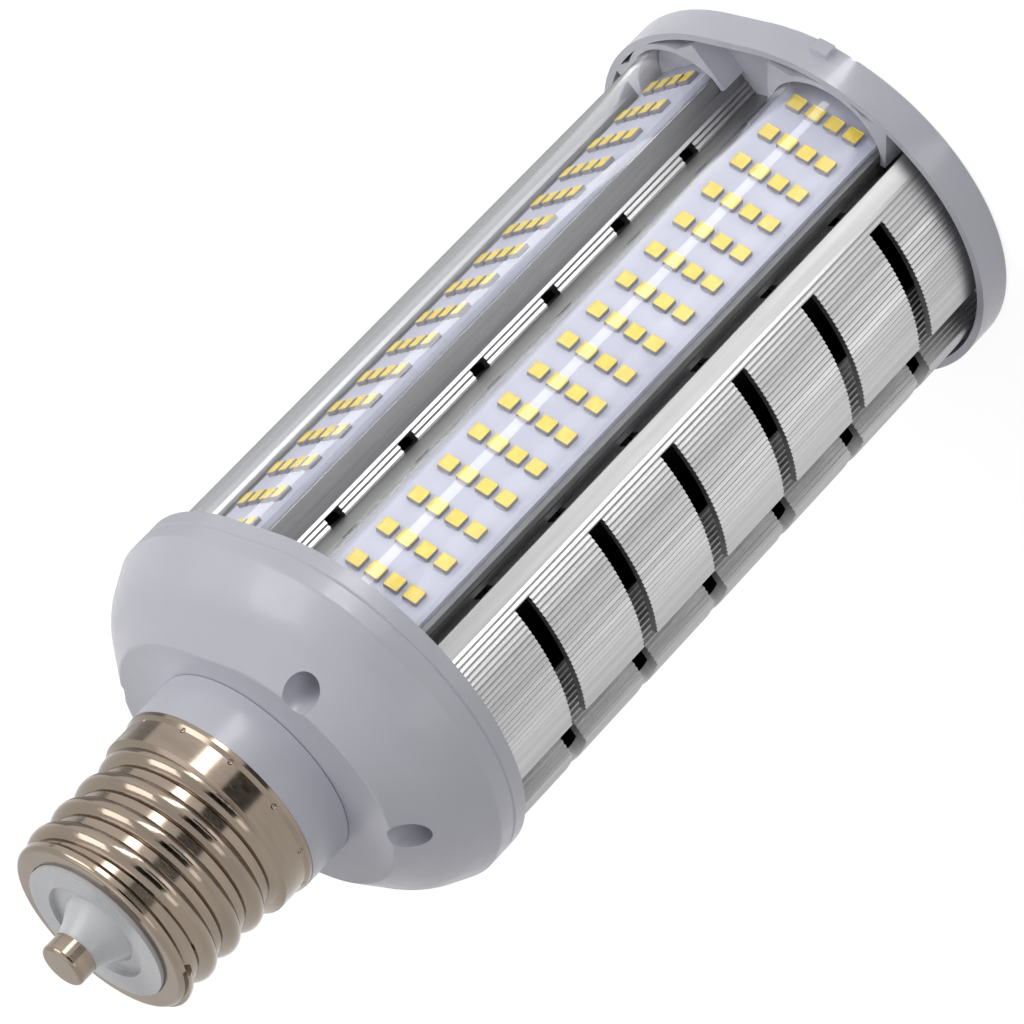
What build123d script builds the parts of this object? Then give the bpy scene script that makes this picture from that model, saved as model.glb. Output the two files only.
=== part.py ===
from build123d import *
import os
from math import cos, radians, sin, tan

# Directional LED lamp on a mogul screw base, in millimetres.
# It stands on the flat face of its end cap, screw base up, origin at the centre of that face.
# The LED panels look towards -Y, one to each side, and the screw base turns about Z.

# Oval outline shared by the rim and the driver housing, and how far the end cap stands out from it
OVAL_LENGTH = 88.5
OVAL_WIDTH = 77.5
OUTER_WALL = 1.5
CAP_FLARE = 0.6

# Heights up the lamp
CAP_PLATE = 2.0
CAP_LIP = 5.8
BODY_LENGTH = 143.0
RIM_LIP = 1.0
RIM_PLATE = 2.1
HOUSING_BAND = 3.8
HOUSING_BEND = 10.9
HOUSING_HEIGHT = 18.4
COLLAR_HEIGHT = 9.65
SHELL_LENGTH = 32.9
INSULATOR_RISE = 0.8
RISER_HEIGHT = 5.0
CONTACT_HEIGHT = 4.0

# Clearances
SLIDE_FIT = 0.15
SCREW_FIT = 0.03
SHROUD_GAP = 0.2
SWIVEL_GAP = 0.15
SWIVEL_FIT = 0.08
SHELL_FIT = 0.05
LEAD_GAP = 0.3

# LED panels: angle from straight ahead, board face in from the oval, and shift away from the middle
PANEL_ANGLE = 23.0
BOARD_SETBACK = 8.15
PANEL_SHIFT = 8.0
BOARD_WIDTH = 21.1
BOARD_THICKNESS = 1.2
LED_COLUMNS = 4
LED_ROWS = 16
LED_COLUMN_PITCH = 4.23
LED_ROW_PITCH = 8.53
LED_FIRST_ROW = 6.5
LED_WIDTH = 3.1
LED_LENGTH = 3.2
LED_HEIGHT = 1.0
CARRIER_BASE = 4.8
CARRIER_GROOVE = 0.3
CARRIER_GROOVE_WIDTH = 0.8
CARRIER_GROOVE_DROP = 2.1
COVER_SEAT = 1.35
COVER_RISE = 7.9
COVER_WALL = 0.9

# Heat sink extrusion
SINK_WALL = 2.0
WING_GAP = 1.25
WING_WALL = 1.2
WING_FRONT = -33.7
WING_STRIP_END = -27.8
WING_FREE_EDGE = 20.3
WING_WEB = -29.0
REAR_GAP = 0.5
REAR_START = 36.0
FLANK_X = 31.2
FLANK_Y = 8.0
BOX_HALF_WIDTH = 22.0
CHANNEL_DEPTH = 9.2
RIB_PITCH = 1.05
RIB_HEIGHT = 0.35
RIB_ROOT = 0.5
SLOT_COUNT = 6
SLOT_WIDTH = 3.9
SLOT_PITCH = 20.74
SLOT_FIRST = 19.6
SLOT_FRONT = 15.2
VENT_EDGE = 0.7
VENT_REACH = 5.0
PORT_RADIUS = 2.6
PORT_ROOT = 1.0
REAR_PORT_ANGLE = 80.0

# Fasteners: the port screws hold the cap and the rim to the extrusions, the housing screws go into the rim
SCREW_DIAMETER = 2.9
SCREW_HEAD_DIAMETER = 5.4
SCREW_HEAD_HEIGHT = 2.2
SCREW_GRIP = 12.0
FRONT_PORT_ACROSS = -8.0
COUNTERBORE_DIAMETER = 6.5
BOSS_WALL = 1.3
BOSS_SEAT = 3.0
RIM_BOSS_WALL = 1.6
RIM_BOSS_HEIGHT = 4.0
HOLE_INSET = 10.05
HOLE_ANGLES = (54.5, -15.6)
CROSS_WIDTH = 0.8
CROSS_LENGTH = 3.0
CROSS_DEPTH = 1.0

# End cap details
CAP_EDGE = 0.8
SHROUD_WALL = 1.2
SHROUD_FOOT = 4.0
SHROUD_DECK = 6.7
FRAME_WALL = 1.2
FRAME_HEIGHT = 3.0
TAB_ANGLE = -110.0
TAB_LENGTH = 3.5
TAB_PROUD = 1.2
TAB_HEIGHT = 3.0

# Driver housing
HOUSING_WALL = 2.4
BEND_INSET = 3.5
BEND_FILLET = 15.0
NECK_INSET = 12.2
NECK_PLATE = 3.0
SHOULDER_FILLET = 1.5
NECK_FILLET = 0.8
SEAM_CHAMFER = 0.3
LEAD_OPENING = 9.0

# Swivel and collar
COLLAR_RADIUS = 21.2
COLLAR_BORE = 13.0
SPIGOT_RADIUS = 18.0
RETAINER_HEIGHT = 2.0
RETAINER_WIDTH = 2.8
STOP_WIDTH = 3.0
STOP_REACH = 1.7
STOP_GAP = 0.5
PLUG_HEIGHT = 5.2

# Screw shell
SKIRT_RADIUS = 20.6
SKIRT_LIP_RADIUS = 21.1
SKIRT_LIP_HEIGHT = 0.8
SKIRT_LENGTH = 6.6
SKIRT_SLOPE = 1.6
SHELL_WALL = 1.1
THREAD_ROOT = 18.1
THREAD_CREST = 19.7
THREAD_PITCH = 6.35
THREAD_WIDTH = 4.8
THREAD_PHASE = 161.5
THREAD_BITE = 0.3
END_RING_RADIUS = 18.9
END_RING_HEIGHT = 2.6
END_RING_FILLET = 0.9
END_RING_PLATE = 0.8
END_RING_BORE = 15.2
DIMPLE_COUNT = 12
DIMPLE_RADIUS = 0.55
DIMPLE_HEIGHT = 1.7
DIMPLE_PHASE = 21.0

# Contact and insulator
INSULATOR_GAP = 0.2
INSULATOR_DEPTH = 4.0
RISER_RECESS_RADIUS = 10.5
RISER_RECESS = 1.0
RISER_FOOT_RADIUS = 7.6
RISER_WAIST_RADIUS = 5.6
RISER_TOP_RADIUS = 4.3
CONTACT_RADIUS = 4.55
CONTACT_FILLET = 0.7
CONTACT_TAIL_RADIUS = 1.2
CONTACT_TAIL = 12.0

# Driver
SLEEVE_FRONT = 12.0
SLEEVE_BACK = 22.0
SLEEVE_WALL = 1.2
SLEEVE_CORNER = 3.0
DRIVER_BOARD_Y = 6.0
DRIVER_BOARD_MARGIN = 2.0
DRIVER_BOARD_THICKNESS = 1.6
BLOCK_WIDTH = 9.0
BLOCK_HEIGHT = 10.0
BLOCK_TOP_MARGIN = 1.0
CORE_WIDTH = 26.0
CORE_HEIGHT = 24.0
CORE_DEPTH = 11.0
CORE_LEG = 6.0
CORE_WINDOW = 5.5
CORE_YOKE = 4.5
CORE_FOOT = 2.0
CORE_PLACE = 62.0
CAPACITOR_RADIUS = 6.3
CAPACITOR_LENGTH = 14.0
CAPACITOR_PLACES = (92.0, 107.0)
CHOKE_RADIUS = 8.0
CHOKE_CORE = 3.0
CHOKE_PLACE = 32.0
RECTIFIER_WIDTH = 18.0
RECTIFIER_HEIGHT = 12.0
RECTIFIER_DEPTH = 4.0
RECTIFIER_PLACE = 12.0
LEAD_RADIUS = 0.9
LEAD_SPACING = 3.2
LEAD_BEND = 6.0
LEAD_TURN_HEIGHT = 9.5
OUTPUT_ACROSS = -3.0
OUTPUT_INSET = 11.05
OUTPUT_OVERLAP = 5.0
OUTPUT_LOOP = 7.5

# Levels that follow from the heights
body_bottom = CAP_PLATE
body_top = body_bottom + BODY_LENGTH
seam = body_top + RIM_PLATE
shoulder = seam + HOUSING_BAND
bend = seam + HOUSING_BEND
boss_bottom = seam + RIM_BOSS_HEIGHT
boss_seat = boss_bottom + BOSS_SEAT
housing_top = seam + HOUSING_HEIGHT
neck_underside = housing_top - NECK_PLATE
collar_bottom = housing_top + SWIVEL_GAP
skirt_bottom = collar_bottom + COLLAR_HEIGHT
shell_top = skirt_bottom + SHELL_LENGTH
insulator_top = shell_top + INSULATOR_RISE
contact_bottom = insulator_top + RISER_HEIGHT
retainer_top = neck_underside - SWIVEL_GAP
retainer_bottom = retainer_top - RETAINER_HEIGHT
driver_top = body_top - DRIVER_BOARD_MARGIN
block_top = driver_top - BLOCK_TOP_MARGIN

# Section values that follow from the sizes
end_centre = (OVAL_LENGTH - OVAL_WIDTH) / 2
board_face = OVAL_WIDTH / 2 - BOARD_SETBACK
board_half = BOARD_WIDTH / 2
carrier_half = board_half + SLIDE_FIT + COVER_SEAT
carrier_back = -BOARD_THICKNESS - CARRIER_BASE
channel_side = -carrier_half - SLIDE_FIT
channel_floor = board_face - CHANNEL_DEPTH
wing_radius = OVAL_WIDTH / 2 - OUTER_WALL - WING_GAP
rear_radius = OVAL_WIDTH / 2 - OUTER_WALL - REAR_GAP
bore_radius = SCREW_DIAMETER / 2 + SCREW_FIT
head_radius = SCREW_HEAD_DIAMETER / 2
boss_radius = COUNTERBORE_DIAMETER / 2 + BOSS_WALL
plug_radius = SKIRT_RADIUS - SHELL_WALL
spigot_bore = SPIGOT_RADIUS + SWIVEL_FIT
retainer_radius = SPIGOT_RADIUS + RETAINER_WIDTH
shell_bore = THREAD_ROOT - SHELL_WALL
skirt_end = skirt_bottom + SKIRT_LENGTH
plug_top = skirt_bottom + PLUG_HEIGHT
sleeve_width = 2 * (BOX_HALF_WIDTH - SINK_WALL - FRAME_WALL - 2 * SHROUD_GAP)
sleeve_depth = SLEEVE_FRONT + SLEEVE_BACK
sleeve_middle = (SLEEVE_BACK - SLEEVE_FRONT) / 2
driver_half = sleeve_width / 2 - SLEEVE_WALL - SLIDE_FIT
driver_face = DRIVER_BOARD_Y - DRIVER_BOARD_THICKNESS / 2

UPWARD = (Align.CENTER, Align.CENTER, Align.MIN)
DOWNWARD = (Align.CENTER, Align.CENTER, Align.MAX)
FRONT_OF_FACE = (Align.CENTER, Align.MAX, Align.CENTER)
FROM_AXIS = (Align.MIN, Align.CENTER, Align.MIN)


def panel_point(across, height):
    """Point of the +X panel: distance across it from its middle, and height above its board face."""
    angle = radians(PANEL_ANGLE)
    out = board_face + height
    side = PANEL_SHIFT + across
    return (out * sin(angle) + side * cos(angle), side * sin(angle) - out * cos(angle))


def end_point(radius, angle):
    """Point on an arc about the centre of the oval's +X end, angle in degrees from +X."""
    return (end_centre + radius * cos(radians(angle)), radius * sin(radians(angle)))


roof_start = panel_point(channel_side, carrier_back)
channel_wall = (-channel_floor - roof_start[1]) / cos(radians(PANEL_ANGLE))
front_port = panel_point(FRONT_PORT_ACROSS, (carrier_back - BOARD_THICKNESS) / 2)
rear_port = end_point(rear_radius - SINK_WALL + PORT_ROOT - PORT_RADIUS, REAR_PORT_ANGLE)
port_places = [(side * x, y) for x, y in (front_port, rear_port) for side in (-1, 1)]
hole_points = [end_point(OVAL_WIDTH / 2 - HOLE_INSET, angle) for angle in HOLE_ANGLES]
hole_places = [(side * x, side * y) for x, y in hole_points for side in (-1, 1)]
output_place = panel_point(OUTPUT_ACROSS, LEAD_RADIUS + SLIDE_FIT)


def oval(inset=0.0):
    """The shared outline, moved in by an even amount."""
    return SlotOverall(OVAL_LENGTH - 2 * inset, OVAL_WIDTH - 2 * inset)


def polygon(*points):
    return make_face(Polyline(*points, close=True))


def both_sides(shape):
    """A shape of the +X half together with its mirror image."""
    return shape + mirror(shape, about=Plane.YZ)


def turned(*points):
    """Solid of revolution about Z from radius and height points."""
    return revolve(Plane.XZ * polygon(*points), axis=Axis.Z)


def bar(radius, bottom, top, place=(0, 0)):
    """Upright cylinder between two levels."""
    return Pos(place[0], place[1], bottom) * Cylinder(radius, top - bottom, align=UPWARD)


def ring_sector(outer, inner, start, end):
    """Curved wall of the heat sink section about the centre of the oval's +X end."""
    middle = (start + end) / 2
    outline = [
        ThreePointArc(end_point(outer, start), end_point(outer, middle), end_point(outer, end)),
        Line(end_point(outer, end), end_point(inner, end)),
        ThreePointArc(end_point(inner, end), end_point(inner, middle), end_point(inner, start)),
        Line(end_point(inner, start), end_point(outer, start)),
    ]
    return make_face(outline)


def strip(start, end, thickness):
    """Straight wall of the section: its outer face runs from start to end, its body lies to the left."""
    along = (Vector(*end) - Vector(*start)).normalized()
    inward = Vector(-along.Y, along.X) * thickness
    return polygon(start, end, Vector(*end) + inward, Vector(*start) + inward)


def curved_ribs(radius, start, end):
    """Fine ribs on a curved wall, as one toothed strip rooted in the wall."""
    count = round(radians(abs(end - start)) * radius / RIB_PITCH)
    step = (end - start) / (2 * count)
    teeth = [end_point(radius + RIB_HEIGHT * (i % 2), start + step * i) for i in range(2 * count + 1)]
    root = radius - RIB_ROOT
    back = ThreePointArc(end_point(root, end), end_point(root, (start + end) / 2), end_point(root, start))
    sides = [Line(teeth[-1], end_point(root, end)), Line(end_point(root, start), teeth[0])]
    return make_face([Polyline(*teeth), back, *sides])


def straight_ribs(start, end):
    """Fine ribs on a straight wall whose body lies to the left."""
    first = Vector(*start)
    run = Vector(*end) - first
    count = round(run.length / RIB_PITCH)
    outward = Vector(run.Y, -run.X).normalized()
    teeth = [first + run * (i / (2 * count)) + outward * RIB_HEIGHT * (i % 2) for i in range(2 * count + 1)]
    return polygon(*teeth, teeth[-1] - outward * RIB_ROOT, teeth[0] - outward * RIB_ROOT)


def sink_section():
    """Cross section of the heat sink, built for the +X half and mirrored."""
    roof_end = panel_point(carrier_half, carrier_back)
    floor_end = panel_point(channel_side, carrier_back - channel_wall)
    wall_foot = panel_point(channel_side, carrier_back - channel_wall - SINK_WALL)
    web_start = panel_point(carrier_half - SINK_WALL, carrier_back - SINK_WALL)
    web_end = end_point(wing_radius - WING_WALL / 2, WING_WEB)
    box_front = roof_start[1] + (BOX_HALF_WIDTH - roof_start[0]) * tan(radians(PANEL_ANGLE))
    flank_start = (FLANK_X, FLANK_Y)
    flank_end = end_point(rear_radius, REAR_START)
    rear_middle = end_point(rear_radius, 90)
    floor_back = SINK_WALL - channel_floor
    half = polygon((0, -channel_floor), floor_end, (floor_end[0], floor_back), (0, floor_back))
    half += strip(wall_foot, roof_start, SINK_WALL)
    half += straight_ribs(floor_end, roof_start)
    half += strip(roof_start, roof_end, SINK_WALL)
    half += strip(web_start, web_end, SINK_WALL)
    half += ring_sector(wing_radius, wing_radius - WING_WALL, WING_FRONT, WING_FREE_EDGE)
    half += curved_ribs(wing_radius, WING_STRIP_END, WING_FREE_EDGE)
    half += strip((BOX_HALF_WIDTH, box_front), (BOX_HALF_WIDTH, FLANK_Y + SINK_WALL), SINK_WALL)
    half += strip((BOX_HALF_WIDTH - SINK_WALL, FLANK_Y), flank_start, SINK_WALL)
    half += strip(flank_start, flank_end, SINK_WALL)
    half += straight_ribs(flank_start, flank_end)
    half += ring_sector(rear_radius, rear_radius - SINK_WALL, REAR_START, 90)
    half += curved_ribs(rear_radius, REAR_START, 90)
    half += Pos(*rear_port) * Circle(PORT_RADIUS)
    back = strip(rear_middle, (-rear_middle[0], rear_middle[1]), SINK_WALL)
    back += straight_ribs(rear_middle, (-rear_middle[0], rear_middle[1]))
    return both_sides(half) + back


def heat_sink():
    """Aluminium extrusion with side wings, saw cuts from behind and vents beside the front channel."""
    body = along_body(sink_section())
    cut_depth = SLOT_FRONT + OVAL_WIDTH / 2
    middle = (OVAL_WIDTH / 2 - SLOT_FRONT) / 2
    vent_left = channel_side - 2 * RIB_HEIGHT
    vent_right = channel_side + VENT_REACH
    vent_low = carrier_back - channel_wall
    vents = both_sides(panel_block(vent_left, vent_right, vent_low, carrier_back - VENT_EDGE))
    for i in range(SLOT_COUNT):
        level = body_bottom + SLOT_FIRST + i * SLOT_PITCH
        body -= Pos(0, middle, level) * Box(OVAL_LENGTH, cut_depth, SLOT_WIDTH)
        body -= Pos(0, 0, level - SLOT_WIDTH / 2) * extrude(vents, SLOT_WIDTH)
    for side in (-1, 1):
        body -= bar(bore_radius, body_bottom, body_top, (side * rear_port[0], rear_port[1]))
    return body


def panel_block(left, right, low, high):
    """Rectangle in the section of the +X panel."""
    return polygon(
        panel_point(left, low), panel_point(right, low), panel_point(right, high), panel_point(left, high)
    )


def along_body(section):
    return Pos(0, 0, body_bottom) * extrude(section, BODY_LENGTH)


def led_carrier():
    """Bar under one board and one cover, with a groove down each side and a port for the end screws."""
    section = panel_block(-carrier_half, carrier_half, carrier_back, -BOARD_THICKNESS)
    groove_top = -BOARD_THICKNESS - CARRIER_GROOVE_DROP
    groove_bottom = groove_top - CARRIER_GROOVE_WIDTH
    inner = carrier_half - CARRIER_GROOVE
    section -= panel_block(-carrier_half, -inner, groove_bottom, groove_top)
    section -= panel_block(inner, carrier_half, groove_bottom, groove_top)
    return along_body(section) - bar(bore_radius, body_bottom, body_top, front_port)


def led_board():
    return along_body(panel_block(-board_half, board_half, -BOARD_THICKNESS, 0))


def led_chips():
    """LED packages in rows and columns on one board."""
    chips = []
    for row in range(LED_ROWS):
        level = body_bottom + LED_FIRST_ROW + row * LED_ROW_PITCH
        for column in range(LED_COLUMNS):
            across = (column - (LED_COLUMNS - 1) / 2) * LED_COLUMN_PITCH
            face = panel_block(across - LED_WIDTH / 2, across + LED_WIDTH / 2, 0, LED_HEIGHT)
            chips.append(Pos(0, 0, level - LED_LENGTH / 2) * extrude(face, LED_LENGTH))
    return Part(children=chips)


def clear_cover():
    """Arched cover over one board, standing on the carrier to either side of it."""
    rise = BOARD_THICKNESS + COVER_RISE
    radius = (carrier_half ** 2 + rise ** 2) / (2 * rise)
    centre = panel_point(0, COVER_RISE - radius)
    arch = Pos(*centre) * Circle(radius) - Pos(*centre) * Circle(radius - COVER_WALL)
    arch &= panel_block(-OVAL_WIDTH / 2, OVAL_WIDTH / 2, -BOARD_THICKNESS, OVAL_WIDTH / 2)
    return along_body(arch)


def shroud_outline(gap):
    """Outline round one panel's end, an even gap away from its carrier and cover."""
    side = carrier_half + gap
    top = -BOARD_THICKNESS
    left_foot = panel_point(-side, -SHROUD_FOOT)
    right_foot = panel_point(side, -SHROUD_FOOT)
    left_top = panel_point(-side, top)
    right_top = panel_point(side, top)
    arch = ThreePointArc(left_top, panel_point(0, COVER_RISE + gap), right_top)
    sides = [Line(left_foot, left_top), Line(right_top, right_foot)]
    return make_face([arch, *sides, Line(right_foot, left_foot)])


def sleeve_outline(gap):
    """Rectangle of the driver sleeve, grown by a gap."""
    shape = RectangleRounded(sleeve_width + 2 * gap, sleeve_depth + 2 * gap, SLEEVE_CORNER + gap)
    return Pos(0, sleeve_middle) * shape


def flat_head_screw(place):
    """Flat-head screw up through the end cap into a port."""
    shank = SCREW_DIAMETER / 2
    depth = head_radius - shank
    profile = ((0, 0), (head_radius, 0), (shank, depth), (shank, body_bottom + SCREW_GRIP))
    screw = turned(*profile, (0, body_bottom + SCREW_GRIP))
    return Pos(*place) * (screw - cross_recess(UPWARD))


def cross_recess(align):
    """Cross-shaped driver recess."""
    bar_x = Box(CROSS_LENGTH, CROSS_WIDTH, CROSS_DEPTH, align=align)
    return bar_x + Box(CROSS_WIDTH, CROSS_LENGTH, CROSS_DEPTH, align=align)


def end_cap():
    """Cap with a flat end plate, an outer wall and a shroud round each panel's end."""
    cap = extrude(oval(-CAP_FLARE), CAP_PLATE + CAP_LIP)
    cap = fillet(cap.edges().group_by(Axis.Z)[0], CAP_EDGE)
    lip_area = Pos(0, 0, CAP_PLATE) * extrude(oval(OUTER_WALL - CAP_FLARE), CAP_LIP)
    deck_side = carrier_half + SHROUD_GAP + SHROUD_WALL
    shroud = shroud_outline(SHROUD_GAP + SHROUD_WALL)
    shroud += panel_block(-deck_side, deck_side, -SHROUD_FOOT, SHROUD_DECK)
    shroud -= shroud_outline(SHROUD_GAP)
    walls = Pos(0, 0, CAP_PLATE) * extrude(both_sides(shroud & oval()), CAP_LIP)
    frame = sleeve_outline(SHROUD_GAP + FRAME_WALL) - sleeve_outline(SHROUD_GAP)
    cap = cap - lip_area + walls
    cap += Pos(0, 0, CAP_PLATE) * extrude(frame, FRAME_HEIGHT)
    reach = OVAL_WIDTH / 2 + CAP_FLARE + TAB_PROUD
    tab = Pos(0, 0, CAP_EDGE) * Box(reach, TAB_LENGTH, TAB_HEIGHT, align=FROM_AXIS)
    tab = Pos(-end_centre, 0, 0) * Rot(0, 0, TAB_ANGLE) * tab
    cap += tab - extrude(oval(OUTER_WALL / 2 - CAP_FLARE), CAP_PLATE + CAP_LIP)
    sink = head_radius - bore_radius + SCREW_FIT
    for place in port_places:
        cap -= Pos(*place) * turned((0, 0), (head_radius + SCREW_FIT, 0), (bore_radius, sink), (0, sink))
        cap -= bar(bore_radius, 0, CAP_PLATE, place)
    return cap


def housing_rim():
    """Shallow rim plate over the ends of the extrusions, with bosses that take the housing screws."""
    rim = Pos(0, 0, body_top - RIM_LIP) * extrude(oval(), RIM_LIP + RIM_PLATE)
    rim = chamfer(rim.edges().group_by(Axis.Z)[-1], SEAM_CHAMFER)
    rim -= Pos(0, 0, body_top - RIM_LIP) * extrude(oval(OUTER_WALL), RIM_LIP)
    rim -= bar(LEAD_OPENING, body_top, seam)
    for place in port_places:
        rim -= bar(bore_radius, body_top, seam, place)
    for place in hole_places:
        rim += bar(bore_radius + RIM_BOSS_WALL, seam, boss_bottom, place)
        rim -= bar(bore_radius, body_top, boss_bottom, place)
    for side in (-1, 1):
        rim -= bar(LEAD_RADIUS + SLIDE_FIT, body_top, seam, (side * output_place[0], output_place[1]))
    return rim


def tapered(inset, top):
    """Block from the oval at the shoulder in over the bend to the neck, moved in by an even amount."""
    steps = ((shoulder, 0.0), (bend, BEND_INSET), (top, NECK_INSET))
    return loft([Pos(0, 0, level) * oval(inset + step) for level, step in steps], ruled=True)


def edges_at(shape, level):
    """Edges of a shape that lie on one level."""
    return [edge for edge in shape.edges() if abs(edge.center().Z - level) < SCREW_FIT]


def driver_housing():
    """Hollow housing from the oval rim to the neck, with bosses for the housing screws."""
    shell = Pos(0, 0, seam) * extrude(oval(), HOUSING_BAND) + tapered(0, housing_top)
    shell = fillet(edges_at(shell, bend), BEND_FILLET)
    shell = fillet(edges_at(shell, shoulder), SHOULDER_FILLET)
    shell = fillet(edges_at(shell, housing_top), NECK_FILLET)
    shell = chamfer(edges_at(shell, seam), SEAM_CHAMFER)
    hollow = Pos(0, 0, seam) * extrude(oval(HOUSING_WALL), HOUSING_BAND)
    hollow += tapered(HOUSING_WALL, neck_underside)
    for place in hole_places:
        hollow -= bar(boss_radius, boss_bottom, housing_top, place)
    housing = shell - hollow
    housing -= bar(spigot_bore, neck_underside, housing_top)
    for place in hole_places:
        housing -= bar(COUNTERBORE_DIAMETER / 2, boss_seat, housing_top, place)
        housing -= bar(bore_radius, boss_bottom, boss_seat, place)
    stop_start = retainer_radius + STOP_GAP
    stop = Box(STOP_REACH, STOP_WIDTH, neck_underside - retainer_bottom, align=FROM_AXIS)
    return housing + Pos(0, 0, retainer_bottom) * Rot(0, 0, 180) * Pos(stop_start, 0, 0) * stop


def pan_head_screw(place, tip, seat):
    """Screw that points down from its head on a seat."""
    screw = bar(head_radius, seat, seat + SCREW_HEAD_HEIGHT)
    screw = fillet(screw.edges().group_by(Axis.Z)[-1], SCREW_HEAD_HEIGHT / 3)
    screw += bar(SCREW_DIAMETER / 2, tip, seat)
    screw -= Pos(0, 0, seat + SCREW_HEAD_HEIGHT) * cross_recess(DOWNWARD)
    return Pos(*place) * screw


def base_collar():
    """Collar that carries the screw shell and turns in the neck of the housing."""
    return turned(
        (COLLAR_BORE, retainer_bottom),
        (SPIGOT_RADIUS, retainer_bottom),
        (SPIGOT_RADIUS, collar_bottom),
        (COLLAR_RADIUS, collar_bottom),
        (COLLAR_RADIUS, skirt_bottom),
        (plug_radius, skirt_bottom),
        (plug_radius, plug_top),
        (COLLAR_BORE, plug_top),
    )


def swivel_retainer():
    """Ring fixed to the collar's spigot under the neck plate, with a stop lug."""
    ring = bar(retainer_radius, retainer_bottom, retainer_top)
    lug_reach = STOP_GAP + STOP_REACH
    lug = Box(retainer_radius + lug_reach, STOP_WIDTH, RETAINER_HEIGHT, align=FROM_AXIS)
    ring += Pos(0, 0, retainer_bottom) * lug
    return ring - bar(SPIGOT_RADIUS + SCREW_FIT, retainer_bottom, retainer_top)


def thread_turns():
    """Turns of the round-topped helical ridge, cut off square at both ends of the thread."""
    path = Helix(THREAD_PITCH, THREAD_PITCH, THREAD_ROOT)
    half = THREAD_WIDTH / 2
    foot = -THREAD_BITE
    crest = ThreePointArc((foot, -half), (THREAD_CREST - THREAD_ROOT, 0), (foot, half))
    section = make_face([crest, Line((foot, half), (foot, -half))])
    plane = Plane(origin=path @ 0, x_dir=(1, 0, 0), z_dir=path % 0)
    turn = Rot(0, 0, THREAD_PHASE) * sweep(plane * section, path=path, is_frenet=True)
    bottom = skirt_end - THREAD_BITE
    top = shell_top - END_RING_HEIGHT / 2
    start = bottom - THREAD_PITCH
    count = int((top - start) / THREAD_PITCH) + 1
    room = bar(THREAD_CREST + THREAD_BITE, bottom, top)
    return [Pos(0, 0, start + i * THREAD_PITCH) * turn & room for i in range(count)]


def screw_shell():
    """Mogul screw shell: staked skirt, rolled thread and an end rolled in over the insulator."""
    ring_bottom = shell_top - END_RING_HEIGHT
    plate_bottom = shell_top - END_RING_PLATE
    shell = turned(
        (plug_radius + SHELL_FIT, skirt_bottom),
        (SKIRT_LIP_RADIUS, skirt_bottom),
        (SKIRT_LIP_RADIUS, skirt_bottom + SKIRT_LIP_HEIGHT),
        (SKIRT_RADIUS, skirt_bottom + 2 * SKIRT_LIP_HEIGHT),
        (SKIRT_RADIUS, skirt_end),
        (THREAD_ROOT, skirt_end + SKIRT_SLOPE),
        (THREAD_ROOT, ring_bottom),
        (END_RING_RADIUS, ring_bottom + END_RING_FILLET),
        (END_RING_RADIUS, shell_top),
        (END_RING_BORE, shell_top),
        (END_RING_BORE, plate_bottom),
        (shell_bore, plate_bottom),
        (shell_bore, plug_top + SHELL_FIT),
        (plug_radius + SHELL_FIT, plug_top + SHELL_FIT),
    )
    end_edges = shell.edges().filter_by(GeomType.CIRCLE).group_by(Axis.Z)[-1]
    shell = fillet(end_edges.sort_by(SortBy.RADIUS)[-1], END_RING_FILLET)
    for turn in thread_turns():
        shell += turn
    dimple = Pos(SKIRT_RADIUS + DIMPLE_RADIUS / 2, 0, skirt_bottom + DIMPLE_HEIGHT) * Sphere(DIMPLE_RADIUS)
    for i in range(DIMPLE_COUNT):
        shell -= Rot(0, 0, DIMPLE_PHASE + i * 360 / DIMPLE_COUNT) * dimple
    return shell


def contact_insulator():
    """Insulating disc held by the rolled end of the shell, with a flared riser for the contact."""
    flange_top = shell_top - END_RING_PLATE
    flange_radius = shell_bore - INSULATOR_GAP
    disc_radius = END_RING_BORE - INSULATOR_GAP
    disc_bottom = flange_top - INSULATOR_DEPTH
    recess = insulator_top - RISER_RECESS
    foot = (RISER_FOOT_RADIUS, recess)
    top = (RISER_TOP_RADIUS, contact_bottom)
    waist = (RISER_WAIST_RADIUS, (recess + contact_bottom) / 2)
    bore = CONTACT_TAIL_RADIUS + SCREW_FIT
    edges = Polyline(
        top,
        (bore, contact_bottom),
        (bore, disc_bottom),
        (flange_radius, disc_bottom),
        (flange_radius, flange_top),
        (disc_radius, flange_top),
        (disc_radius, insulator_top),
        (RISER_RECESS_RADIUS, insulator_top),
        (RISER_RECESS_RADIUS, recess),
        foot,
    )
    flare = ThreePointArc(foot, waist, top)
    return revolve(Plane.XZ * make_face([edges, flare]), axis=Axis.Z)


def centre_contact():
    """Plated contact stud with a tail for the lead."""
    stud = bar(CONTACT_RADIUS, contact_bottom, contact_bottom + CONTACT_HEIGHT)
    stud = fillet(stud.edges().group_by(Axis.Z)[-1], CONTACT_FILLET)
    return stud + bar(CONTACT_TAIL_RADIUS, contact_bottom - CONTACT_TAIL, contact_bottom)


def driver_sleeve():
    """Insulating tube round the driver, from the end cap to the rim plate."""
    return along_body(sleeve_outline(0) - sleeve_outline(-SLEEVE_WALL))


def driver_board():
    board = Box(2 * driver_half, DRIVER_BOARD_THICKNESS, driver_top - body_bottom, align=UPWARD)
    return Pos(0, DRIVER_BOARD_Y, body_bottom) * board


def on_board(level):
    """Place on the face of the driver board."""
    return Pos(0, driver_face, body_bottom + level)


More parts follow.
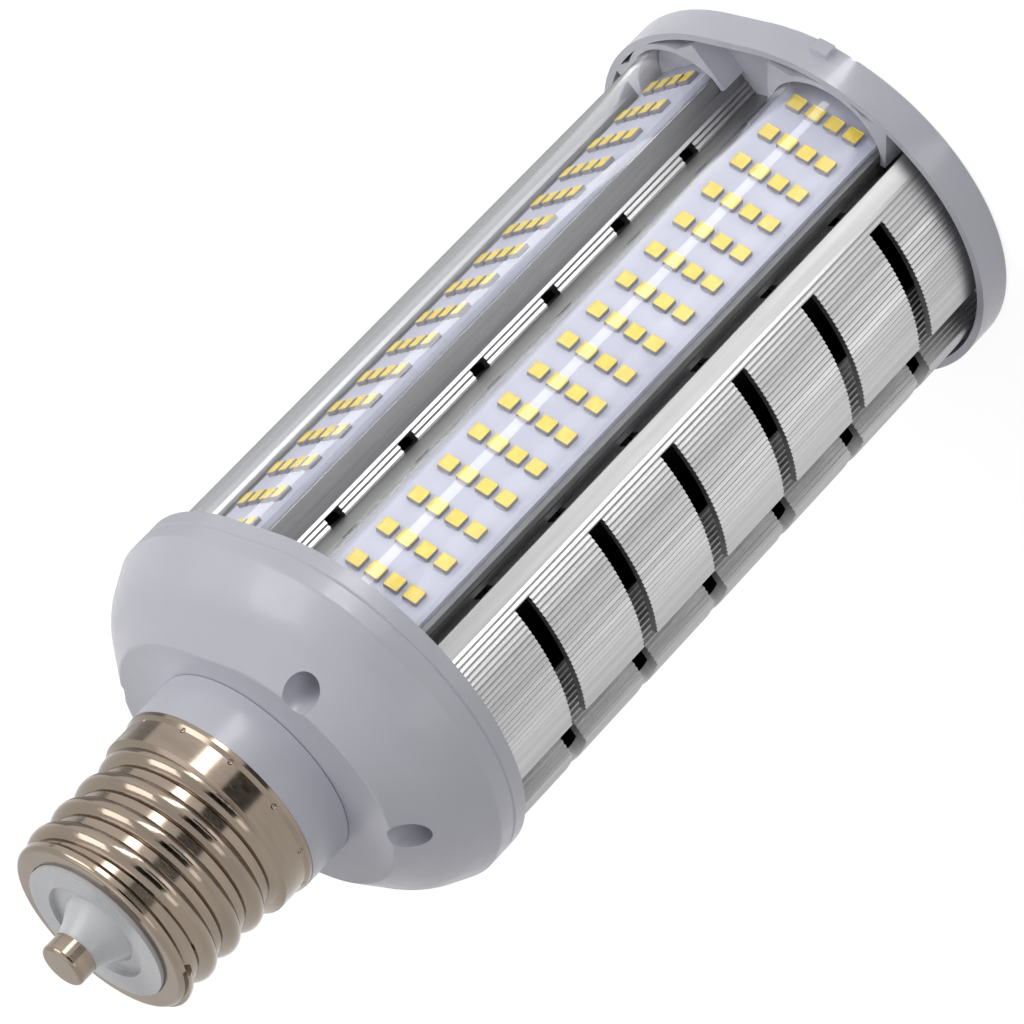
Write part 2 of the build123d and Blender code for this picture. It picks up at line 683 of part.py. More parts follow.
def transformer_core():
    """Three-legged core, held by its winding just off the driver board."""
    core = Box(CORE_WIDTH, CORE_DEPTH, CORE_HEIGHT, align=FRONT_OF_FACE)
    window = Box(CORE_WINDOW, CORE_DEPTH, CORE_HEIGHT - 2 * CORE_YOKE, align=FRONT_OF_FACE)
    place = (CORE_LEG + CORE_WINDOW) / 2
    for side in (-1, 1):
        core -= Pos(side * place, 0, 0) * window
    return on_board(CORE_PLACE) * Pos(0, -CORE_FOOT, 0) * core


def transformer_winding():
    """Winding round the middle leg of the core, standing on the driver board."""
    width = CORE_LEG + 2 * CORE_WINDOW - 2 * SLIDE_FIT
    height = CORE_HEIGHT - 2 * CORE_YOKE - 2 * SLIDE_FIT
    winding = Box(width, CORE_DEPTH + 2 * CORE_FOOT, height, align=FRONT_OF_FACE)
    winding = fillet(winding.edges().filter_by(Axis.Z), CORE_FOOT)
    leg = Box(CORE_LEG + 2 * SLIDE_FIT, CORE_DEPTH + 2 * SLIDE_FIT, height, align=FRONT_OF_FACE)
    return on_board(CORE_PLACE) * (winding - Pos(0, SLIDE_FIT - CORE_FOOT, 0) * leg)


def bulk_capacitors():
    """Two electrolytic capacitors standing on the driver board."""
    can = Rot(90, 0, 0) * Cylinder(CAPACITOR_RADIUS, CAPACITOR_LENGTH, align=UPWARD)
    can = fillet(can.edges().group_by(Axis.Y)[0], CONTACT_FILLET)
    return Part(children=[on_board(level) * can for level in CAPACITOR_PLACES])


def filter_choke():
    """Wound ring lying on the driver board."""
    return on_board(CHOKE_PLACE) * Pos(0, -CHOKE_CORE, 0) * Rot(90, 0, 0) * Torus(CHOKE_RADIUS, CHOKE_CORE)


def bridge_rectifier():
    block = Box(RECTIFIER_WIDTH, RECTIFIER_DEPTH, RECTIFIER_HEIGHT, align=FRONT_OF_FACE)
    return on_board(RECTIFIER_PLACE) * block


def terminal_block():
    """Block on the axis that takes the two leads from the base."""
    depth = driver_face + BLOCK_WIDTH / 2
    block = Box(BLOCK_WIDTH, depth, BLOCK_HEIGHT, align=(Align.CENTER, Align.MAX, Align.MAX))
    return Pos(0, driver_face, block_top) * block


def lead(*points):
    """Insulated wire along straight runs with rounded bends."""
    path = FilletPolyline(*points, radius=LEAD_BEND) if len(points) > 2 else Line(*points)
    return sweep(Plane(origin=path @ 0, z_dir=path % 0) * Circle(LEAD_RADIUS), path=path)


def live_lead():
    """Lead from the contact's tail straight down the axis to the terminal block."""
    side = -LEAD_SPACING / 2
    return lead((side, 0, block_top + LEAD_GAP), (side, 0, contact_bottom - CONTACT_TAIL))


def neutral_lead():
    """Lead from the inside of the screw shell to the terminal block."""
    side = LEAD_SPACING / 2
    turn = plug_top + LEAD_TURN_HEIGHT
    return lead((side, 0, block_top + LEAD_GAP), (side, 0, turn), (shell_bore - SHELL_FIT, 0, turn))


def output_lead():
    """Lead from the driver board up through the rim plate and down to one LED board."""
    start = (driver_half - OUTPUT_INSET, driver_face - LEAD_RADIUS)
    loop = seam + OUTPUT_LOOP
    return lead(
        (*start, driver_top - OUTPUT_OVERLAP),
        (*start, loop),
        (*output_place, loop),
        (*output_place, body_top - OUTPUT_OVERLAP),
    )


PANEL_PIECES = {
    "led_carrier": led_carrier,
    "led_board": led_board,
    "led_chips": led_chips,
    "clear_cover": clear_cover,
    "output_lead": output_lead,
}

SINGLE_PIECES = {
    "centre_contact": centre_contact,
    "contact_insulator": contact_insulator,
    "screw_shell": screw_shell,
    "base_collar": base_collar,
    "swivel_retainer": swivel_retainer,
    "driver_housing": driver_housing,
    "housing_rim": housing_rim,
    "heat_sink": heat_sink,
    "end_cap": end_cap,
    "driver_sleeve": driver_sleeve,
    "driver_board": driver_board,
    "transformer_core": transformer_core,
    "transformer_winding": transformer_winding,
    "bulk_capacitors": bulk_capacitors,
    "filter_choke": filter_choke,
    "bridge_rectifier": bridge_rectifier,
    "terminal_block": terminal_block,
    "live_lead": live_lead,
    "neutral_lead": neutral_lead,
}

pieces = {name: make() for name, make in SINGLE_PIECES.items()}
housing_screws = [pan_head_screw(place, body_top + SLIDE_FIT, boss_seat) for place in hole_places]
rim_screws = [pan_head_screw(place, body_top - SCREW_GRIP, seam) for place in port_places]
cap_screws = [flat_head_screw(place) for place in port_places]
pieces["housing_screws"] = Part(children=housing_screws)
pieces["rim_screws"] = Part(children=rim_screws)
pieces["cap_screws"] = Part(children=cap_screws)
for name, make in PANEL_PIECES.items():
    right = make()
    pieces["right_" + name] = right
    pieces["left_" + name] = mirror(right, about=Plane.YZ)

os.makedirs("parts", exist_ok=True)
for name, piece in pieces.items():
    export_step(piece, f"parts/{name}.step")
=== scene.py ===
import bmesh
import bpy
import math
from mathutils import Matrix, Vector


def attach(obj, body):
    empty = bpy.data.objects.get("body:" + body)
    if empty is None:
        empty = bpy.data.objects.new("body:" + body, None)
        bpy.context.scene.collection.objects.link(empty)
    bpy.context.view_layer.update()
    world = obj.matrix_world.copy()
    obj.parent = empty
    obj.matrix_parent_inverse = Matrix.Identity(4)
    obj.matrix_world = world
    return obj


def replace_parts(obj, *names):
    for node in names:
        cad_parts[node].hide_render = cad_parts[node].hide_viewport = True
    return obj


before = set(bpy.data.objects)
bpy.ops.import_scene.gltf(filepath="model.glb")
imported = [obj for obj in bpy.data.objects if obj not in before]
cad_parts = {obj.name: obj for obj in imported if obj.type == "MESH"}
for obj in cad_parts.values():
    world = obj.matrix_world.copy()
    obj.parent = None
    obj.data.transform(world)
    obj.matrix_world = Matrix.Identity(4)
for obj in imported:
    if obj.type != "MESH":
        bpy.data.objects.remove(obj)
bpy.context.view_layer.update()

# Lengths are in metres, and values shared with the part's source are in millimetres times this
MM = 0.001

# Camera of the photograph, in the part's frame
CAMERA_PLACE = (-0.73040, -0.64864, 0.57629)
CAMERA_UP = (0.22057, -0.72807, -0.64904)
CAMERA_AHEAD = (0.66942, 0.59697, -0.44216)
CAMERA_LENS = 210.94
CAMERA_SENSOR = 36.0
CAMERA_REACH = 20.0

# LED panels, as in the part's source
PANEL_ANGLE = 23.0
BOARD_FACE = 30.6
PANEL_SHIFT = 8.0
BOARD_BOTTOM = 2.0
LED_COLUMNS = 4
LED_ROWS = 16
LED_COLUMN_PITCH = 4.23
LED_ROW_PITCH = 8.53
LED_FIRST_ROW = 6.5
LED_WIDTH = 3.1
LED_LENGTH = 3.2
LED_HEIGHT = 1.0

# Details of one LED package
PACKAGE_BEVEL = 0.16
WINDOW_MARGIN = 0.18
WINDOW_SLOPE = 0.1
WINDOW_DEPTH = 0.1
PAD_REACH = 0.35
PAD_WIDTH = 2.0
PAD_HEIGHT = 0.12

# Room inside the heat sink, up to or just within the inner faces of its walls: painted shade makes these
# faces near black where the saw cuts show them
END_CENTRE = 5.5
INNER_RADIUS = 34.75
INNER_FRONT = -13.0
FLANK_X = 30.9
FLANK_Y = 7.9

# Most values of a noise lie between these
NOISE_LOW = 0.3
NOISE_HIGH = 0.7

# Moulded plastic: cells of its noises per metre, swing of its roughness and strength of its grain
CLOUD_CELLS = 70
GLOSS_CELLS = 350
GRAIN_CELLS = 3500
LEAST_GLOSS = 1.2
MOST_GLOSS = 0.85
PLASTIC_RELIEF = 0.35

# Metal: how the noise is stretched by the way it was made, lines per metre and strength of the lines
DRAWN_ALONG_Z = (1, 1, 0.02)
TURNED_ABOUT_Z = (0.15, 0.15, 1)
EVEN = (1, 1, 1)
DRAWN_LINES = 6000
TURNED_LINES = 5000
EVEN_LINES = 2500
LINES_PER_BAND = 12
METAL_RELIEF = 0.3

# Height of the finest relief
FINE_RELIEF = 0.01 * MM

# LED boards: cells of the mask's noises per metre, and its tracks in millimetres
MASK_CLOUD_CELLS = 120
MASK_GRAIN_CELLS = 2500
MASK_RELIEF = 0.3
TRACK_WIDTH = 0.22
TRACK_SOFTNESS = 0.3
TRACK_SHADE = 0.5

# Driver's board: cells per metre, share of the noise where a track's edge lies, and height in millimetres
DRIVER_TRACK_CELLS = 260
DRIVER_TRACK_EDGE = (0.48, 0.52)
DRIVER_TRACK_HEIGHT = 0.03
DRIVER_TRACK_RELIEF = 0.6

# Phosphor and clear covers
PHOSPHOR_CELLS = 900
COVER_CELLS = 400
COVER_STRETCH = (1, 1, 0.1)
COVER_ROUGHNESS = (0.03, 0.07)
COVER_TINT = (0.985, 0.99, 1.0, 1.0)

# Stage: the floor lies just below the part, and the cards on it just above the floor
FLOOR_SIZE = 6.0
FLOOR_LEVEL = -0.0002
CARD_LEVEL = -0.0001
FLOOR_GLOW = 0.75
WORLD_LIGHT = 0.22
WORLD_SEEN = 1.0
WHITE = (1.0, 1.0, 1.0, 1.0)
CARD_BLACK = (0.004, 0.004, 0.004, 1.0)
FLOOR_GREY = (0.8, 0.8, 0.8, 1.0)
LAMP_DISTANCE = 1.2
TARGET = Vector((0, 0, 0.11))


def srgb(red, green, blue):
    """Linear colour from the usual 0 to 255 values."""
    channels = []
    for value in (red, green, blue):
        part = value / 255
        channels.append(part / 12.92 if part <= 0.04045 else ((part + 0.055) / 1.055) ** 2.4)
    return (*channels, 1.0)


def grey(level):
    """Linear grey from a 0 to 255 value."""
    return srgb(level, level, level)


def new_material(name, constants):
    """A new material with one Principled shader and constants on its own sockets."""
    made = bpy.data.materials.new(name)
    made.use_nodes = True
    shader = made.node_tree.nodes["Principled BSDF"]
    for socket, value in constants.items():
        shader.inputs[socket].default_value = value
    return made, made.node_tree, shader


def place(tree, stretch=EVEN, turn=0.0):
    """Object coordinates in metres, turned about Z and stretched."""
    coordinates = tree.nodes.new("ShaderNodeTexCoord")
    mapping = tree.nodes.new("ShaderNodeMapping")
    mapping.inputs["Rotation"].default_value = (0, 0, math.radians(turn))
    mapping.inputs["Scale"].default_value = stretch
    tree.links.new(coordinates.outputs["Object"], mapping.inputs["Vector"])
    return mapping.outputs["Vector"]


def grain(tree, scale, detail=3.0, stretch=EVEN):
    """Noise from 0 to 1, scale in cells per metre."""
    noise = tree.nodes.new("ShaderNodeTexNoise")
    noise.inputs["Scale"].default_value = scale
    noise.inputs["Detail"].default_value = detail
    tree.links.new(place(tree, stretch), noise.inputs["Vector"])
    return noise.outputs["Fac"]


def ranged(tree, amount, low, high, start_at=0.0, end_at=1.0):
    """Amount from start_at to end_at, mapped to low to high and kept inside it."""
    node = tree.nodes.new("ShaderNodeMapRange")
    node.inputs["From Min"].default_value = start_at
    node.inputs["From Max"].default_value = end_at
    node.inputs["To Min"].default_value = low
    node.inputs["To Max"].default_value = high
    tree.links.new(amount, node.inputs["Value"])
    return node.outputs["Result"]


def spread_out(tree, noise, low=0.0, high=1.0):
    """A noise spread over the whole way from low to high."""
    return ranged(tree, noise, low, high, NOISE_LOW, NOISE_HIGH)


def between(tree, amount, low, high):
    """Colour between two colours; either may be a socket."""
    node = tree.nodes.new("ShaderNodeMix")
    node.data_type = "RGBA"
    tree.links.new(amount, node.inputs[0])
    for socket, colour in ((node.inputs[6], low), (node.inputs[7], high)):
        if isinstance(colour, tuple):
            socket.default_value = colour
        else:
            tree.links.new(colour, socket)
    return node.outputs[2]


def relief(tree, shader, height, distance, strength):
    """Bump of a height map, distance in metres."""
    node = tree.nodes.new("ShaderNodeBump")
    node.inputs["Strength"].default_value = strength
    node.inputs["Distance"].default_value = distance
    tree.links.new(height, node.inputs["Height"])
    tree.links.new(node.outputs["Normal"], shader.inputs["Normal"])


def worked_out(tree, operation, *terms):
    """Result of one calculation; each term is a socket or a number."""
    node = tree.nodes.new("ShaderNodeMath")
    node.operation = operation
    for socket, term in zip(node.inputs, terms):
        if isinstance(term, (int, float)):
            socket.default_value = term
        else:
            tree.links.new(term, socket)
    return node.outputs["Value"]


def moulded(name, low, high, roughness, coat=0.0):
    """Moulded plastic: slight cloudiness, fine texture and uneven gloss."""
    made, tree, shader = new_material(name, {"Coat Weight": coat, "Coat Roughness": 0.12, "IOR": 1.5})
    cloud = spread_out(tree, grain(tree, CLOUD_CELLS, detail=4))
    tree.links.new(between(tree, cloud, low, high), shader.inputs["Base Color"])
    uneven = grain(tree, GLOSS_CELLS, detail=2)
    gloss = spread_out(tree, uneven, roughness * MOST_GLOSS, roughness * LEAST_GLOSS)
    tree.links.new(gloss, shader.inputs["Roughness"])
    relief(tree, shader, grain(tree, GRAIN_CELLS, detail=2), FINE_RELIEF, PLASTIC_RELIEF)
    return made


def metal(name, low, high, roughness, spread, stretch, lines):
    """Metal with fine lines along the way that it was drawn or turned, and broader bands of tone."""
    made, tree, shader = new_material(name, {"Metallic": 1.0})
    fine = grain(tree, lines, 2, stretch)
    broad = grain(tree, lines / LINES_PER_BAND, 3, stretch)
    tone = spread_out(tree, broad)
    tree.links.new(between(tree, tone, low, high), shader.inputs["Base Color"])
    tree.links.new(spread_out(tree, fine, roughness, roughness + spread), shader.inputs["Roughness"])
    relief(tree, shader, fine, FINE_RELIEF, METAL_RELIEF)
    return made


def painted_shade_mask_of_sink(tree):
    """Mask of the painted shade: one behind the walls of the heat sink and zero on its outer faces."""
    split = tree.nodes.new("ShaderNodeSeparateXYZ")
    tree.links.new(place(tree), split.inputs["Vector"])
    beside = worked_out(tree, "ABSOLUTE", split.outputs["X"])
    depth = split.outputs["Y"]
    past_centre = worked_out(tree, "MAXIMUM", worked_out(tree, "SUBTRACT", beside, END_CENTRE * MM), 0.0)
    square = worked_out(tree, "MULTIPLY", past_centre, past_centre)
    radius = worked_out(tree, "SQRT", worked_out(tree, "MULTIPLY_ADD", depth, depth, square))
    within = worked_out(tree, "LESS_THAN", radius, INNER_RADIUS * MM)
    behind = worked_out(tree, "GREATER_THAN", depth, INNER_FRONT * MM)
    narrow = worked_out(tree, "LESS_THAN", beside, FLANK_X * MM)
    forward = worked_out(tree, "LESS_THAN", depth, FLANK_Y * MM)
    covered = worked_out(tree, "MAXIMUM", narrow, forward)
    return worked_out(tree, "MULTIPLY", covered, worked_out(tree, "MULTIPLY", within, behind))


def sink_material():
    """Extruded aluminium, with painted shade: its faces behind the walls are near black where the saw cuts
    show them.
    """
    made = metal("sink_metal", grey(166), grey(188), 0.34, 0.12, DRAWN_ALONG_Z, DRAWN_LINES)
    tree = made.node_tree
    colour = tree.nodes["Principled BSDF"].inputs["Base Color"]
    outside = colour.links[0].from_socket
    # Painted shade: near-black colour on the sink's inner faces, standing in for the shadow in the room
    # behind the saw cuts
    tree.links.new(between(tree, painted_shade_mask_of_sink(tree), outside, srgb(14, 14, 15)), colour)
    return made


def board_material(name, side):
    """White solder mask over copper: faint tracks between the packages."""
    made, tree, shader = new_material(name, {"Roughness": 0.42, "IOR": 1.5})
    cloud = spread_out(tree, grain(tree, MASK_CLOUD_CELLS))
    mask = between(tree, cloud, srgb(176, 177, 194), srgb(183, 184, 200))
    tracks = tree.nodes.new("ShaderNodeTexBrick")
    tracks.inputs["Scale"].default_value = 1.0
    tracks.inputs["Brick Width"].default_value = LED_ROW_PITCH * MM
    tracks.inputs["Row Height"].default_value = LED_COLUMN_PITCH * MM
    tracks.inputs["Mortar Size"].default_value = TRACK_WIDTH * MM
    tracks.inputs["Mortar Smooth"].default_value = TRACK_SOFTNESS
    tracks.offset = 0.0
    turned = tree.nodes.new("ShaderNodeVectorRotate")
    turned.rotation_type = "Y_AXIS"
    turned.inputs["Angle"].default_value = math.radians(90)
    tree.links.new(place(tree, turn=-side * PANEL_ANGLE), turned.inputs["Vector"])
    tree.links.new(turned.outputs["Vector"], tracks.inputs["Vector"])
    lines = ranged(tree, tracks.outputs["Fac"], 0, TRACK_SHADE)
    tree.links.new(between(tree, lines, mask, srgb(168, 169, 185)), shader.inputs["Base Color"])
    relief(tree, shader, grain(tree, MASK_GRAIN_CELLS, detail=2), FINE_RELIEF, MASK_RELIEF)
    return made


def clear_material():
    """Clear cover: glass that lets the lamps through to the boards behind it."""
    made, tree, shader = new_material("clear_cover", {
        "Base Color": COVER_TINT, "Transmission Weight": 1.0, "IOR": 1.45})
    gloss = spread_out(tree, grain(tree, COVER_CELLS, stretch=COVER_STRETCH), *COVER_ROUGHNESS)
    tree.links.new(gloss, shader.inputs["Roughness"])
    path = tree.nodes.new("ShaderNodeLightPath")
    through = tree.nodes.new("ShaderNodeBsdfTransparent")
    mix = tree.nodes.new("ShaderNodeMixShader")
    tree.links.new(path.outputs["Is Shadow Ray"], mix.inputs["Fac"])
    tree.links.new(shader.outputs["BSDF"], mix.inputs[1])
    tree.links.new(through.outputs["BSDF"], mix.inputs[2])
    tree.links.new(mix.outputs["Shader"], tree.nodes["Material Output"].inputs["Surface"])
    return made


def circuit_material():
    """Driver board: green mask with darker and lighter tracks."""
    made, tree, shader = new_material("circuit_board", {"Roughness": 0.35})
    tracks = ranged(tree, grain(tree, DRIVER_TRACK_CELLS, detail=1), 0, 1, *DRIVER_TRACK_EDGE)
    tree.links.new(between(tree, tracks, srgb(22, 84, 48), srgb(34, 104, 60)), shader.inputs["Base Color"])
    relief(tree, shader, tracks, DRIVER_TRACK_HEIGHT * MM, DRIVER_TRACK_RELIEF)
    return made


def phosphor_material():
    """Yellow phosphor under a thin clear skin."""
    made, tree, shader = new_material("phosphor", {"Roughness": 0.45, "Coat Weight": 0.3})
    tone = spread_out(tree, grain(tree, PHOSPHOR_CELLS))
    tree.links.new(between(tree, tone, srgb(222, 190, 44), srgb(234, 208, 78)), shader.inputs["Base Color"])
    return made


# Plastics
white_plastic = moulded("white_plastic", srgb(213, 213, 224), srgb(217, 217, 228), 0.36, coat=0.2)
insulator_plastic = moulded("insulator_plastic", srgb(222, 223, 226), srgb(229, 230, 232), 0.3, coat=0.1)
black_plastic = moulded("black_plastic", srgb(17, 17, 18), srgb(26, 26, 27), 0.5)
ferrite = moulded("ferrite", srgb(52, 52, 55), srgb(66, 66, 69), 0.6)
winding_tape = moulded("winding_tape", srgb(205, 168, 44), srgb(220, 184, 66), 0.35)
capacitor_jacket = moulded("capacitor_jacket", srgb(30, 36, 66), srgb(40, 47, 80), 0.28)
terminal_plastic = moulded("terminal_plastic", srgb(40, 120, 66), srgb(50, 134, 76), 0.4)
live_jacket = moulded("live_jacket", grey(26), grey(36), 0.4)
neutral_jacket = moulded("neutral_jacket", srgb(216, 216, 214), srgb(226, 226, 224), 0.4)
output_jacket = moulded("output_jacket", srgb(166, 28, 24), srgb(182, 40, 34), 0.4)
# LED package sides: grey in place of the package's white, painted shade for the dark edge along their sides
package_side_painted_shade = moulded("package_side_painted_shade", srgb(112, 110, 116), srgb(126, 124, 130), 0.4)

# Metals: darker and paler tone, least roughness, its spread, and the way of the lines
carrier_metal = metal(
    "carrier_metal", srgb(146, 146, 148), srgb(162, 162, 164), 0.45, 0.12, DRAWN_ALONG_Z, DRAWN_LINES)
nickel = metal(
    "nickel", srgb(134, 122, 110), srgb(148, 135, 122), 0.12, 0.07, TURNED_ABOUT_Z, TURNED_LINES)
screw_metal = metal(
    "screw_metal", srgb(176, 176, 178), srgb(196, 196, 198), 0.25, 0.15, EVEN, EVEN_LINES)
copper_winding = metal(
    "copper_winding", srgb(190, 110, 62), srgb(206, 130, 80), 0.3, 0.1, EVEN, EVEN_LINES)
solder = metal(
    "solder", srgb(196, 196, 200), srgb(214, 214, 218), 0.3, 0.15, EVEN, EVEN_LINES)

phosphor = phosphor_material()
clear_look = clear_material()

NODE_LOOKS = {
    "centre_contact": nickel,
    "contact_insulator": insulator_plastic,
    "screw_shell": nickel,
    "base_collar": white_plastic,
    "swivel_retainer": white_plastic,
    "driver_housing": white_plastic,
    "housing_rim": white_plastic,
    "end_cap": white_plastic,
    "heat_sink": sink_material(),
    "housing_screws": screw_metal,
    "rim_screws": screw_metal,
    "cap_screws": screw_metal,
    "driver_sleeve": black_plastic,
    "driver_board": circuit_material(),
    "transformer_core": ferrite,
    "transformer_winding": winding_tape,
    "bulk_capacitors": capacitor_jacket,
    "filter_choke": copper_winding,
    "bridge_rectifier": ferrite,
    "terminal_block": terminal_plastic,
    "live_lead": live_jacket,
    "neutral_lead": neutral_jacket,
}
for side_name, side in (("left", -1), ("right", 1)):
    NODE_LOOKS[side_name + "_led_carrier"] = carrier_metal
    NODE_LOOKS[side_name + "_led_board"] = board_material(side_name + "_board_mask", side)
    NODE_LOOKS[side_name + "_clear_cover"] = clear_look
    NODE_LOOKS[side_name + "_output_lead"] = output_jacket

for node_name, look in NODE_LOOKS.items():
    node_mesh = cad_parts[node_name].data
    node_mesh.materials.clear()
    node_mesh.materials.append(look)


# LED packages: slots of the piece's materials
PACKAGE_LOOKS = (package_side_painted_shade, phosphor, solder)
BODY, WINDOW, PAD = range(len(PACKAGE_LOOKS))


def package_mesh():
    """One LED package: chamfered body, sunk phosphor window and two solder pads."""
    shape = bmesh.new()

    def loop(width, length, height, corner):
        """Rectangle with cut corners, at a height above the board."""
        x = width / 2
        z = length / 2
        points = [
            (-x + corner, -z), (x - corner, -z), (x, -z + corner), (x, z - corner),
            (x - corner, z), (-x + corner, z), (-x, z - corner), (-x, -z + corner),
        ]
        return [shape.verts.new((across, height, along)) for across, along in points]

    def bridge(first, second, material):
        """Faces between two loops."""
        count = len(first)
        for i in range(count):
            following = (i + 1) % count
            corners = (first[i], first[following], second[following], second[i])
            shape.faces.new(corners).material_index = material

    window_width = LED_WIDTH - 2 * WINDOW_MARGIN
    window_length = LED_LENGTH - 2 * WINDOW_MARGIN
    floor_width = window_width - 2 * WINDOW_SLOPE
    floor_length = window_length - 2 * WINDOW_SLOPE
    rings = [
        loop(LED_WIDTH, LED_LENGTH, 0.0, PACKAGE_BEVEL),
        loop(LED_WIDTH, LED_LENGTH, LED_HEIGHT - PACKAGE_BEVEL, PACKAGE_BEVEL),
        loop(LED_WIDTH - PACKAGE_BEVEL, LED_LENGTH - PACKAGE_BEVEL, LED_HEIGHT, PACKAGE_BEVEL),
        loop(window_width, window_length, LED_HEIGHT, PACKAGE_BEVEL),
        loop(floor_width, floor_length, LED_HEIGHT - WINDOW_DEPTH, PACKAGE_BEVEL),
    ]
    shape.faces.new(list(reversed(rings[0]))).material_index = BODY
    for lower, upper, material in zip(rings, rings[1:], (BODY, BODY, WINDOW, WINDOW)):
        bridge(lower, upper, material)
    shape.faces.new(rings[-1]).material_index = WINDOW
    for end in (-1, 1):
        middle = end * (LED_LENGTH / 2 + PAD_REACH / 2 - PACKAGE_BEVEL / 2)
        reach = PAD_REACH + PACKAGE_BEVEL
        bottom = loop(PAD_WIDTH, reach, 0.0, PAD_HEIGHT)
        top = loop(PAD_WIDTH - PAD_HEIGHT, reach - PAD_HEIGHT, PAD_HEIGHT, PAD_HEIGHT)
        for vertex in bottom + top:
            vertex.co.z += middle
        shape.faces.new(list(reversed(bottom))).material_index = PAD
        bridge(bottom, top, PAD)
        shape.faces.new(top).material_index = PAD
    bmesh.ops.recalc_face_normals(shape, faces=shape.faces[:])
    mesh = bpy.data.meshes.new("package")
    shape.to_mesh(mesh)
    shape.free()
    return mesh


def panel_frame(side):
    """Turns panel coordinates (across, above the board, up) into the part's frame, in millimetres."""
    angle = math.radians(PANEL_ANGLE)
    across = Vector((side * math.cos(angle), math.sin(angle), 0))
    outward = Vector((side * math.sin(angle), -math.cos(angle), 0))
    turn = Matrix((across, outward, (0, 0, 1))).transposed().to_4x4()
    return turn, across * PANEL_SHIFT + outward * BOARD_FACE


def led_piece(name, side):
    """All the packages of one panel as one piece."""
    single = package_mesh()
    shape = bmesh.new()
    turn, origin = panel_frame(side)
    for row in range(LED_ROWS):
        for column in range(LED_COLUMNS):
            across = (column - (LED_COLUMNS - 1) / 2) * LED_COLUMN_PITCH
            level = BOARD_BOTTOM + LED_FIRST_ROW + row * LED_ROW_PITCH
            seat = Matrix.Translation(origin) @ turn @ Matrix.Translation((across, 0, level))
            first = len(shape.verts)
            shape.from_mesh(single)
            shape.verts.ensure_lookup_table()
            for vertex in shape.verts[first:]:
                vertex.co = (seat @ vertex.co) * MM
    bmesh.ops.recalc_face_normals(shape, faces=shape.faces[:])
    mesh = bpy.data.meshes.new(name)
    shape.to_mesh(mesh)
    shape.free()
    for package_look in PACKAGE_LOOKS:
        mesh.materials.append(package_look)
    piece = bpy.data.objects.new(name, mesh)
    bpy.context.scene.collection.objects.link(piece)
    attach(piece, "lamp")
    return piece


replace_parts(led_piece("left_led_packages", -1), "left_led_chips")
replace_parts(led_piece("right_led_packages", 1), "right_led_chips")


# Stage: pale floor, soft lamps, and cards that only mirrors and clear covers see
def seen_by_eye(tree):
    """One for camera, glossy and transmission rays, zero for the rest."""
    path = tree.nodes.new("ShaderNodeLightPath")
    direct = worked_out(tree, "MAXIMUM", path.outputs["Is Camera Ray"], path.outputs["Is Glossy Ray"])
    return worked_out(tree, "MAXIMUM", direct, path.outputs["Is Transmission Ray"])


def flat_object(name, corners, look):
    """One flat face with its material, linked to the scene."""
    mesh = bpy.data.meshes.new(name)
    mesh.from_pydata(corners, [], [tuple(range(len(corners)))])
    mesh.materials.append(look)
    made = bpy.data.objects.new(name, mesh)
    bpy.context.scene.collection.objects.link(made)
    return made


def rectangle(width, height):
    """Corners of a rectangle about the origin."""
    x = width / 2
    y = height / 2
    return [(-x, -y, 0), (x, -y, 0), (x, y, 0), (-x, y, 0)]


def add_floor():
    """Pale floor that keeps the part's shadow and looks white to the eye."""
    look, tree, shader = new_material("floor", {
        "Base Color": FLOOR_GREY, "Roughness": 0.9, "Specular IOR Level": 0.1, "Emission Color": WHITE})
    glow = worked_out(tree, "MULTIPLY", seen_by_eye(tree), FLOOR_GLOW)
    tree.links.new(glow, shader.inputs["Emission Strength"])
    floor = flat_object("floor", rectangle(FLOOR_SIZE, FLOOR_SIZE), look)
    floor.location.z = FLOOR_LEVEL


def add_world():
    """White world that looks brighter to the eye than the light that it gives."""
    world = bpy.data.worlds.new("studio")
    world.use_nodes = True
    tree = world.node_tree
    background = tree.nodes["Background"]
    background.inputs["Color"].default_value = WHITE
    strength = ranged(tree, seen_by_eye(tree), WORLD_LIGHT, WORLD_SEEN)
    tree.links.new(strength, background.inputs["Strength"])
    bpy.context.scene.world = world


def face_target(made, direction, distance):
    """Puts a lamp or a card away from the target, looking back at it."""
    away = Vector(direction).normalized()
    made.location = TARGET + away * distance
    made.rotation_euler = away.to_track_quat("Z", "Y").to_euler()


def area_lamp(name, direction, size, power):
    """Soft lamp that looks at the middle of the part, size in metres and power in watts."""
    data = bpy.data.lights.new(name, "AREA")
    data.energy = power
    data.size = size
    lamp = bpy.data.objects.new(name, data)
    face_target(lamp, direction, LAMP_DISTANCE)
    bpy.context.scene.collection.objects.link(lamp)


def card_look(name, glow=0.0):
    """Black card, or one with an even white glow."""
    look, _, _ = new_material(name, {
        "Base Color": CARD_BLACK, "Roughness": 1.0, "Specular IOR Level": 0.0,
        "Emission Color": WHITE, "Emission Strength": glow})
    return look


def for_mirrors_only(card, through=False):
    """Shows a card to glossy rays alone, and to rays through clear covers if asked."""
    card.visible_camera = False
    card.visible_diffuse = False
    card.visible_transmission = through
    card.visible_shadow = False


def dark_card(name, direction, distance, width, height):
    """Black card, so that bright metal has something dark to show."""
    card = flat_object(name, rectangle(width, height), card_look(name))
    face_target(card, direction, distance)
    for_mirrors_only(card)


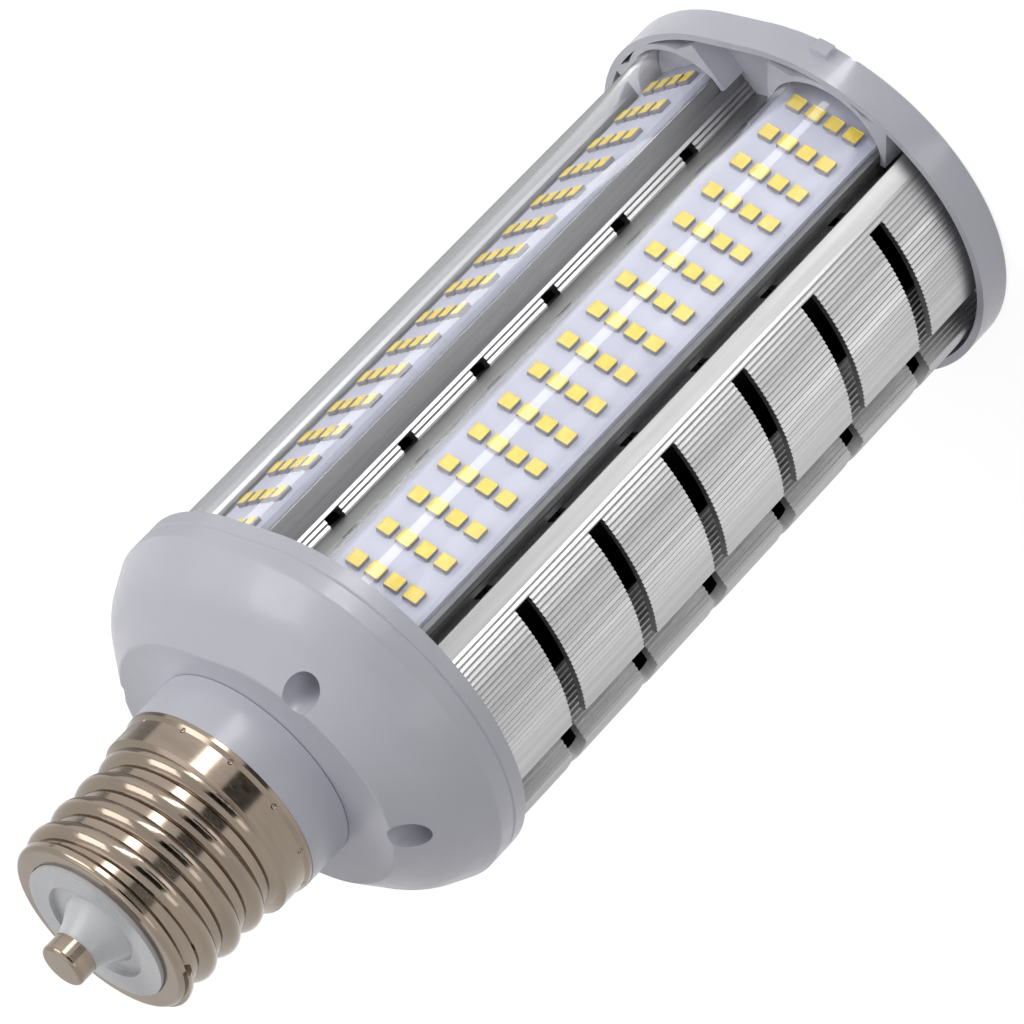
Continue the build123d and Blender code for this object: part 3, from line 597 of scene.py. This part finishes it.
def floor_card(name, apex, azimuth, half_spread, near, far, glow, through=False):
    """Part of a ring on the floor: upright shiny faces show it as a streak or a shade."""
    corners = []
    for reach, sides in ((near, (-1, 1)), (far, (1, -1))):
        for side in sides:
            angle = math.radians(azimuth + side * half_spread)
            corners.append((apex[0] + reach * math.cos(angle), apex[1] + reach * math.sin(angle), 0.0))
    card = flat_object(name, corners, card_look(name, glow))
    card.location.z = CARD_LEVEL
    for_mirrors_only(card, through)


def add_camera():
    """Camera of the photograph."""
    data = bpy.data.cameras.new("photo_camera")
    data.lens = CAMERA_LENS
    data.sensor_width = CAMERA_SENSOR
    data.clip_end = CAMERA_REACH
    camera = bpy.data.objects.new("photo_camera", data)
    ahead = Vector(CAMERA_AHEAD)
    up = Vector(CAMERA_UP)
    turn = Matrix((ahead.cross(up), up, -ahead)).transposed().to_4x4()
    camera.matrix_world = Matrix.Translation(CAMERA_PLACE) @ turn
    bpy.context.scene.collection.objects.link(camera)
    bpy.context.scene.camera = camera


add_floor()
add_world()

area_lamp("key", direction=(0.30, -0.88, 0.38), size=0.7, power=5.0)
area_lamp("side", direction=(-0.95, -0.25, 0.30), size=0.6, power=1.5)
area_lamp("top", direction=(0.25, -0.2, 1.0), size=0.8, power=1.5)

# The dark card and the base's shade streak the nickel, the two streaks brighten the near cover and wing,
# and the left shade greys the far cover's flank
dark_card("camera_card", direction=(-0.80, -0.60, 0.25), distance=0.9, width=0.62, height=0.6)
floor_card("cover_streak", apex=(-0.0235, -0.0318), azimuth=261.0, half_spread=9.0,
           near=0.002, far=0.6, glow=7.5)
floor_card("wing_streak", apex=(-0.0364, -0.0180), azimuth=198.0, half_spread=15.0,
           near=0.004, far=0.3, glow=2.2)
floor_card("base_shade", apex=(0.0, 0.0), azimuth=213.0, half_spread=16.0,
           near=0.33, far=0.6, glow=0.04)
floor_card("left_shade", apex=(0.0, 0.0), azimuth=12.0, half_spread=42.0,
           near=0.03, far=0.6, glow=0.45, through=True)

add_camera()
bpy.context.scene.view_settings.view_transform = "Standard"
